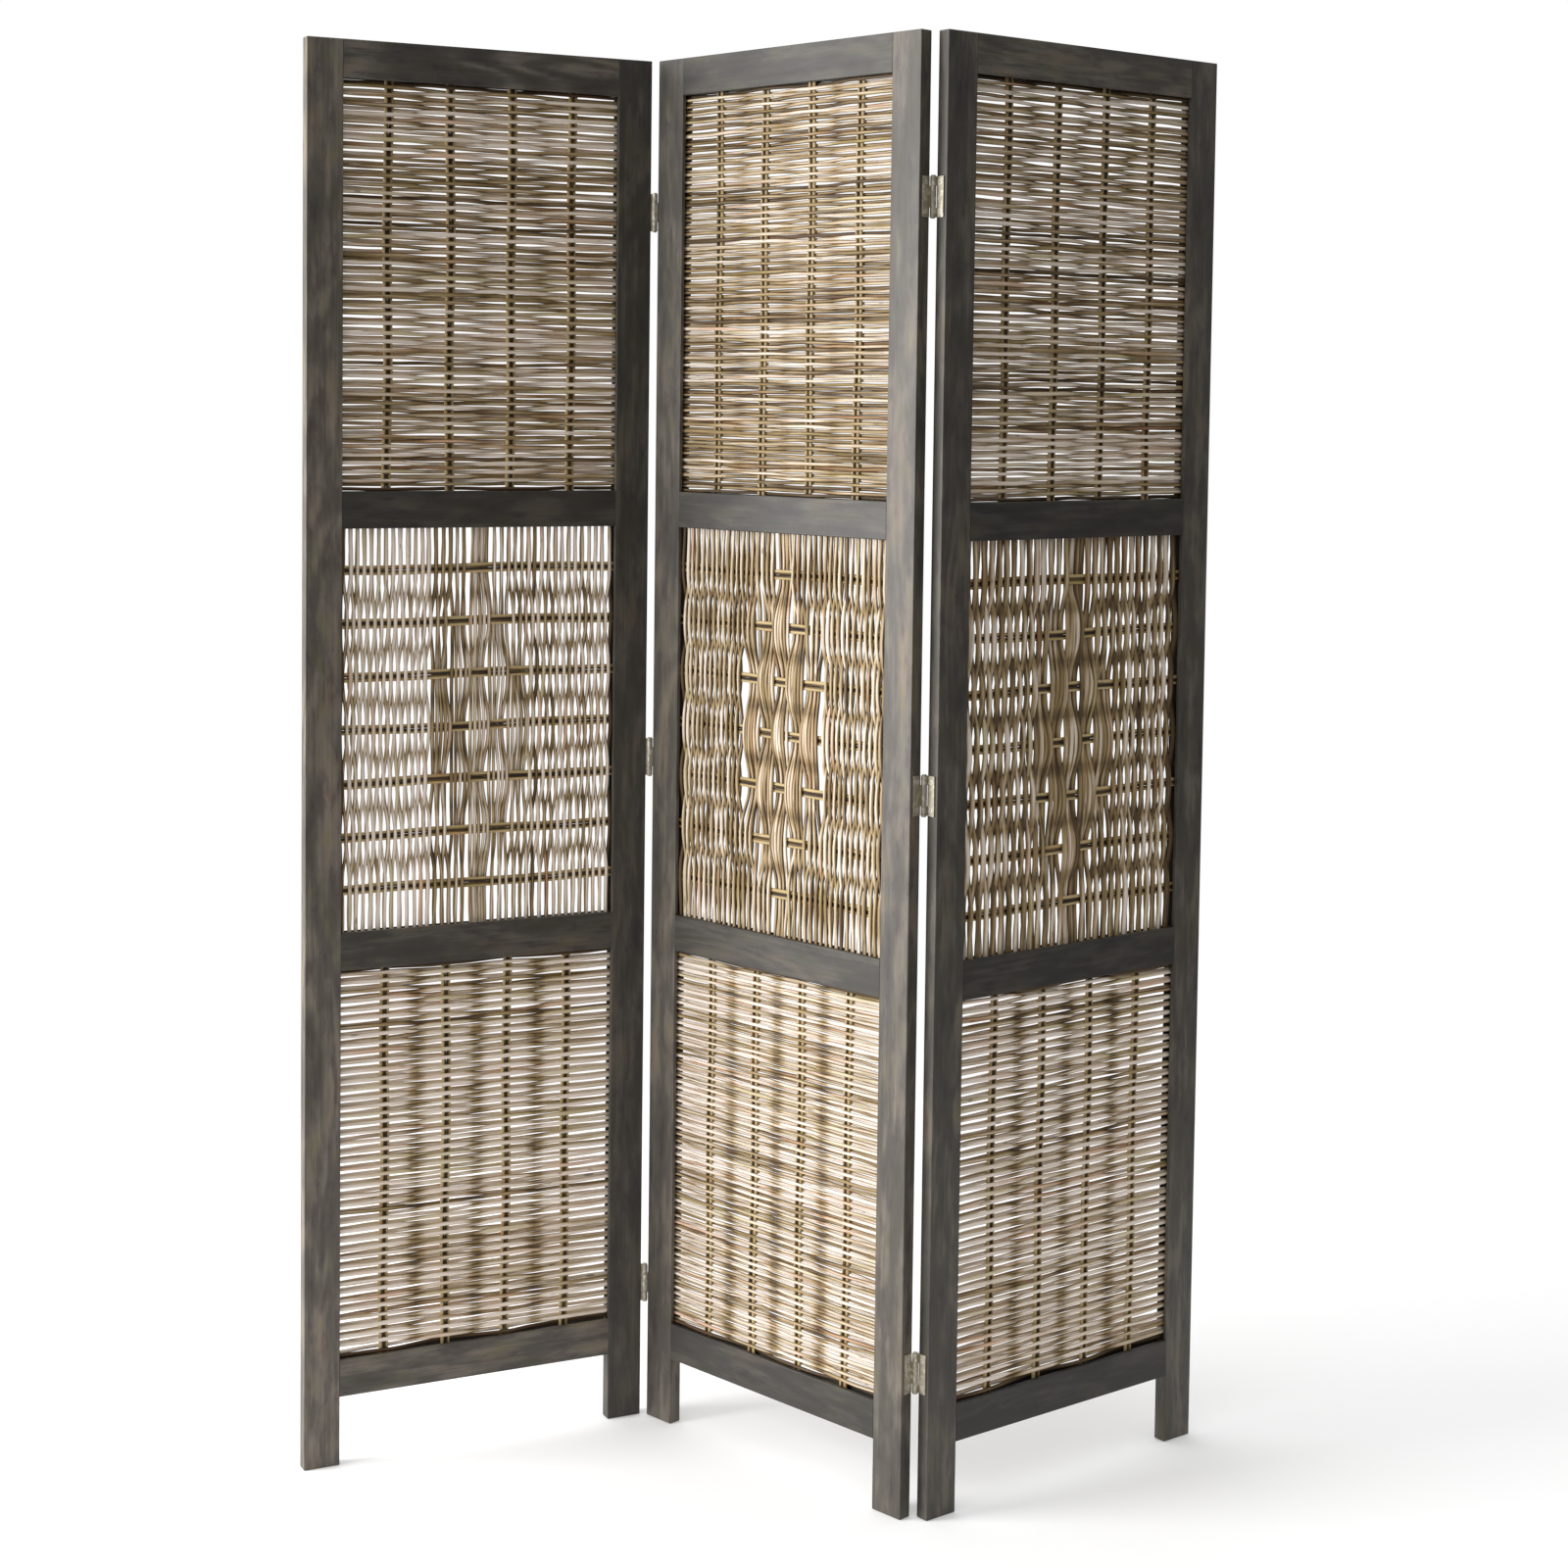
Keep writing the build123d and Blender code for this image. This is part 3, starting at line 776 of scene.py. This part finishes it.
class ScreenStickSettings(bpy.types.PropertyGroup):
    width: bpy.props.FloatProperty(
        name="Stick Width", description="Width of a stick",
        default=0.0059, unit="LENGTH",
    )
    depth: bpy.props.FloatProperty(
        name="Stick Depth", description="Thickness of a stick",
        default=0.0038, unit="LENGTH",
    )
    pair_gap: bpy.props.FloatProperty(
        name="Pair Spacing", description="Between the centres of a pair's sticks",
        default=0.0058, unit="LENGTH",
    )
    standing_pairs: bpy.props.IntProperty(
        name="Standing Pairs", description="Pairs in the upper and lower inserts",
        default=4, min=1,
    )
    lying_pairs: bpy.props.IntProperty(
        name="Lying Pairs", description="Pairs in the middle insert",
        default=7, min=1,
    )
    wobble: bpy.props.FloatProperty(
        name="Wobble", description="How far a pair bends from its line",
        default=0.0009, unit="LENGTH",
    )
    # The pale stick colour shows mostly as painted rim light on the sticks' outer sides, and the dark one as
    # painted shade on the sides that face each other.
    pale: bpy.props.FloatVectorProperty(
        name="Pale Stick", description="Lightest sticks",
        subtype="COLOR", default=linear(186, 164, 118),
    )
    tan: bpy.props.FloatVectorProperty(
        name="Tan Stick", description="Most sticks",
        subtype="COLOR", default=linear(128, 104, 66),
    )
    dark: bpy.props.FloatVectorProperty(
        name="Dark Stick", description="Darkest sticks",
        subtype="COLOR", default=linear(42, 30, 17),
    )


class ScreenWoodSettings(bpy.types.PropertyGroup):
    dark: bpy.props.FloatVectorProperty(
        name="Dark Grain", description="Pores and dark grain",
        subtype="COLOR", default=linear(34, 30, 27),
    )
    stain: bpy.props.FloatVectorProperty(
        name="Stain", description="The stained wood's main colour",
        subtype="COLOR", default=linear(61, 56, 50),
    )
    pale: bpy.props.FloatVectorProperty(
        name="Pale Grain", description="Where the stain took least",
        subtype="COLOR", default=linear(106, 99, 91),
    )
    figure: bpy.props.FloatProperty(
        name="Figure", description="Strength of the growth rings",
        default=0.06, subtype="FACTOR", min=0, max=1,
    )


class ScreenHingeSettings(bpy.types.PropertyGroup):
    metal: bpy.props.FloatVectorProperty(
        name="Aged Metal", description="The dull film on the leaves",
        subtype="COLOR", default=linear(160, 153, 136),
    )
    worn: bpy.props.FloatVectorProperty(
        name="Worn Metal", description="Where the film is rubbed off",
        subtype="COLOR", default=linear(206, 199, 184),
    )
    screw: bpy.props.FloatVectorProperty(
        name="Screw Heads", description="The screws' plating",
        subtype="COLOR", default=linear(200, 196, 188),
    )


class ScreenStageSettings(bpy.types.PropertyGroup):
    camera_place: bpy.props.FloatVectorProperty(
        name="Camera Place", description="From the first fold's axis on the floor",
        subtype="TRANSLATION", default=(0.16495, -3.2552, 1.2806),
    )
    pitch: bpy.props.FloatProperty(
        name="Pitch", description="How far the camera looks down",
        subtype="ANGLE", default=math.radians(3.15),
    )
    roll: bpy.props.FloatProperty(
        name="Roll", description="The camera's tilt about its view",
        subtype="ANGLE", default=math.radians(0.7),
    )
    lens: bpy.props.FloatProperty(
        name="Lens", description="Focal length on a 36 mm sensor, in millimetres",
        default=60.11, unit="CAMERA",
    )
    shift: bpy.props.FloatProperty(
        name="Shift", description="Upward shift of the view",
        default=-0.1506, subtype="FACTOR", min=-1, max=1,
    )
    sky: bpy.props.FloatProperty(
        name="Surround", description="Strength of the white surround",
        default=0.62, subtype="FACTOR", min=0, max=2,
    )
    sky_across: bpy.props.FloatProperty(
        name="Surround Across", description="Gain of the surround from left to right",
        default=-0.36, subtype="FACTOR", min=-1, max=1,
    )
    sky_into: bpy.props.FloatProperty(
        name="Surround Behind", description="Gain of the surround from front to back",
        default=0.2, subtype="FACTOR", min=-1, max=1,
    )
    sky_up: bpy.props.FloatProperty(
        name="Surround Above", description="Gain of the surround from below to above",
        default=0.55, subtype="FACTOR", min=-1, max=1,
    )
    key: bpy.props.FloatProperty(
        name="Key Light", description="Power of the soft light on the left",
        default=112.0, unit="POWER",
    )
    floor: bpy.props.FloatVectorProperty(
        name="Floor", description="The floor's colour",
        subtype="COLOR", default=(0.8, 0.8, 0.8),
    )
    floor_radius: bpy.props.FloatProperty(
        name="Floor Radius", description="Radius of the round floor",
        default=1.7, unit="LENGTH",
    )
    floor_glow: bpy.props.FloatProperty(
        name="Floor Glow", description="Light the floor gives off",
        default=0.15, subtype="FACTOR", min=0, max=1,
    )


# ---- operators ----
class SCREEN_OT_weave_rods(bpy.types.Operator):
    """Weave the willow rods of all the inserts"""

    bl_idname = "screen_divider.weave_rods"
    bl_label = "Weave Rods"

    def execute(self, context):
        weave, sticks = context.scene.screen_weave, context.scene.screen_sticks
        colours = (tuple(weave.pale), tuple(weave.tan), tuple(weave.dark))
        bark = willow_material("willow_bark", *colours)
        for number, (panel, level) in enumerate(product(PANELS, LEVELS)):
            insert = Insert(PanelFrame(panel), level, sticks)
            weaver = Weaver(insert, weave, sticks, ROD_SEED + number)
            data = tubes(insert, *weaver.rods())
            piece = make_piece(f"{insert.name}_woven_rods", *data, bark)
            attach(piece, f"{panel}_panel")
            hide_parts(f"{insert.name}_rods")
        return {"FINISHED"}


class SCREEN_OT_lay_sticks(bpy.types.Operator):
    """Lay the pairs of sticks that the rods are woven on"""

    bl_idname = "screen_divider.lay_sticks"
    bl_label = "Lay Sticks"

    def execute(self, context):
        weave, sticks = context.scene.screen_weave, context.scene.screen_sticks
        colours = (tuple(sticks.pale), tuple(sticks.tan), tuple(sticks.dark))
        peeled = willow_material("willow_sticks", *colours)
        for number, (panel, level) in enumerate(product(PANELS, LEVELS)):
            insert = Insert(PanelFrame(panel), level, sticks)
            weaver = Weaver(insert, weave, sticks, STICK_SEED + number)
            data = tubes(insert, *weaver.stick_lines(), crosswise=True)
            piece = make_piece(f"{insert.name}_stick_pairs", *data, peeled)
            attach(piece, f"{panel}_panel")
            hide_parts(f"{insert.name}_sticks")
        return {"FINISHED"}


def finish_node(node, material):
    """Give a CAD node its material."""
    slots = frame["nodes"][node].material_slots
    if not slots:
        raise RuntimeError(f"{node} has no material slot")
    for slot in slots:
        slot.material = material


class SCREEN_OT_stain_frames(bpy.types.Operator):
    """Stain the stiles and rails"""

    bl_idname = "screen_divider.stain_frames"
    bl_label = "Stain Frames"

    def execute(self, context):
        wood = context.scene.screen_wood
        for number, panel in enumerate(PANELS):
            turn = PanelFrame(panel).turn
            for place, part in enumerate(BOARDS):
                seed = number * (len(BOARDS) + 1) + place + 1
                figure = FIGURED_STRENGTH if (panel, part) == FIGURED_BOARD else wood.figure
                upright = part.startswith("stile")
                name = f"stained_{panel}_{part}"
                tone = BOARD_TONES[panel][place]
                board = stained_wood_material(name, wood, turn, upright, seed, tone, figure)
                finish_node(f"{panel}_{part}", board)
        return {"FINISHED"}


class SCREEN_OT_finish_hinges(bpy.types.Operator):
    """Age the hinge leaves, pins and screws"""

    bl_idname = "screen_divider.finish_hinges"
    bl_label = "Finish Hinges"

    def execute(self, context):
        hinge = context.scene.screen_hinges
        aged = hinge_material("aged_hinge_metal", tuple(hinge.metal), tuple(hinge.worn))
        screw = hinge_material("plated_screws", tuple(hinge.screw), tuple(hinge.worn))
        for fold in FOLDS:
            for level in ("top", "middle", "bottom"):
                for side in ("side", "middle"):
                    finish_node(f"{fold}_{level}_{side}_leaf", aged)
            finish_node(f"{fold}_pins", aged)
        for panel in PANELS:
            finish_node(f"{panel}_screws", screw)
        return {"FINISHED"}


class SCREEN_OT_finish_dowels(bpy.types.Operator):
    """Give the hidden dowels bare wood"""

    bl_idname = "screen_divider.finish_dowels"
    bl_label = "Finish Dowels"

    def execute(self, context):
        bare = plain_wood_material("bare_dowel_wood", BARE_WOOD, BARE_WOOD_GRAIN)
        for panel in PANELS:
            finish_node(f"{panel}_dowels", bare)
        return {"FINISHED"}


class SCREEN_OT_build_stage(bpy.types.Operator):
    """Set out the pale floor, the soft lights and the camera"""

    bl_idname = "screen_divider.build_stage"
    bl_label = "Build Stage"

    def execute(self, context):
        stage = context.scene.screen_stage
        scene = context.scene
        scene.view_settings.view_transform = "Standard"
        turns = np.arange(FLOOR_SIDES) * math.tau / FLOOR_SIDES
        edge = np.stack([np.cos(turns), np.sin(turns), np.zeros(FLOOR_SIDES)], axis=-1)
        mesh = bpy.data.meshes.new("floor")
        mesh.from_pydata((edge * stage.floor_radius).tolist(), [], [list(range(FLOOR_SIDES))])
        mesh.materials.append(floor_material("pale_floor", tuple(stage.floor), stage.floor_glow))
        floor = bpy.data.objects.new("floor", mesh)
        floor.location.z = -FLOOR_DROP
        scene.collection.objects.link(floor)
        scene.world = self.surround(stage)
        self.soft_light(scene, stage)
        self.camera(scene, stage)
        return {"FINISHED"}

    def surround(self, stage):
        """A white surround that lights most from above, from the left and from behind."""
        world = bpy.data.worlds.new("white_surround")
        shader = Shader(world, "Background", Color=(1, 1, 1))
        across, into, up = shader.node("SeparateXYZ", {}, {"Vector": shader.node("TexCoord")[0]})
        glow = stage.sky + across * stage.sky_across + into * stage.sky_into
        glow = glow + up * stage.sky_up
        lit = shader.node("Math", {"operation": "MAXIMUM"}, {0: glow, 1: DARKEST_SKY})[0]
        seen = shader.node("LightPath")[0]
        shader.set("Strength", lit * (1 - seen) + seen)
        return world

    def soft_light(self, scene, stage):
        light = bpy.data.lights.new("key_light", "AREA")
        light.shape = "RECTANGLE"
        light.size, light.size_y = KEY_SIZE
        light.energy = stage.key
        lamp = bpy.data.objects.new("key_light", light)
        lamp.location = KEY_PLACE
        aim = Vector(KEY_AIM) - Vector(KEY_PLACE)
        lamp.rotation_euler = aim.to_track_quat("-Z", "Y").to_euler()
        scene.collection.objects.link(lamp)

    def camera(self, scene, stage):
        valley = next(joint["pos_m"] for joint in frame["joints"] if joint["name"] == FOLDS[0])
        camera = bpy.data.objects.new("camera", bpy.data.cameras.new("camera"))
        camera.data.lens = stage.lens
        camera.data.sensor_width = SENSOR_WIDTH
        camera.data.shift_y = stage.shift
        pitch = Matrix.Rotation(math.radians(90) - stage.pitch, 4, "X")
        roll = Matrix.Rotation(stage.roll, 4, "Z")
        place = Matrix.Translation(Vector(valley) + Vector(stage.camera_place))
        camera.matrix_world = place @ pitch @ roll
        scene.collection.objects.link(camera)
        scene.camera = camera


class SCREEN_PT_sidebar(bpy.types.Panel):
    """Every size and colour, then a button for each operator"""

    bl_label = "Folding Screen"
    bl_space_type = "VIEW_3D"
    bl_region_type = "UI"
    bl_category = "Screen"

    def draw(self, context):
        for name, settings in SETTINGS.items():
            box = self.layout.box()
            for setting in settings.__annotations__:
                box.prop(getattr(context.scene, name), setting)
        for operator in OPERATORS:
            self.layout.operator(operator.bl_idname)


SETTINGS = {
    "screen_weave": ScreenWeaveSettings,
    "screen_sticks": ScreenStickSettings,
    "screen_wood": ScreenWoodSettings,
    "screen_hinges": ScreenHingeSettings,
    "screen_stage": ScreenStageSettings,
}
OPERATORS = (
    SCREEN_OT_stain_frames,
    SCREEN_OT_lay_sticks,
    SCREEN_OT_weave_rods,
    SCREEN_OT_finish_hinges,
    SCREEN_OT_finish_dowels,
    SCREEN_OT_build_stage,
)


def register():
    for name, settings in SETTINGS.items():
        bpy.utils.register_class(settings)
        setattr(bpy.types.Scene, name, bpy.props.PointerProperty(type=settings))
    for operator in OPERATORS:
        bpy.utils.register_class(operator)
    bpy.utils.register_class(SCREEN_PT_sidebar)


def unregister():
    bpy.utils.unregister_class(SCREEN_PT_sidebar)
    for operator in reversed(OPERATORS):
        bpy.utils.unregister_class(operator)
    for name, settings in SETTINGS.items():
        delattr(bpy.types.Scene, name)
        bpy.utils.unregister_class(settings)


def main():
    """Build every piece in order."""
    register()
    bpy.ops.screen_divider.stain_frames()
    bpy.ops.screen_divider.lay_sticks()
    bpy.ops.screen_divider.weave_rods()
    bpy.ops.screen_divider.finish_hinges()
    bpy.ops.screen_divider.finish_dowels()
    bpy.ops.screen_divider.build_stage()


if __name__ == "__main__":
    main()
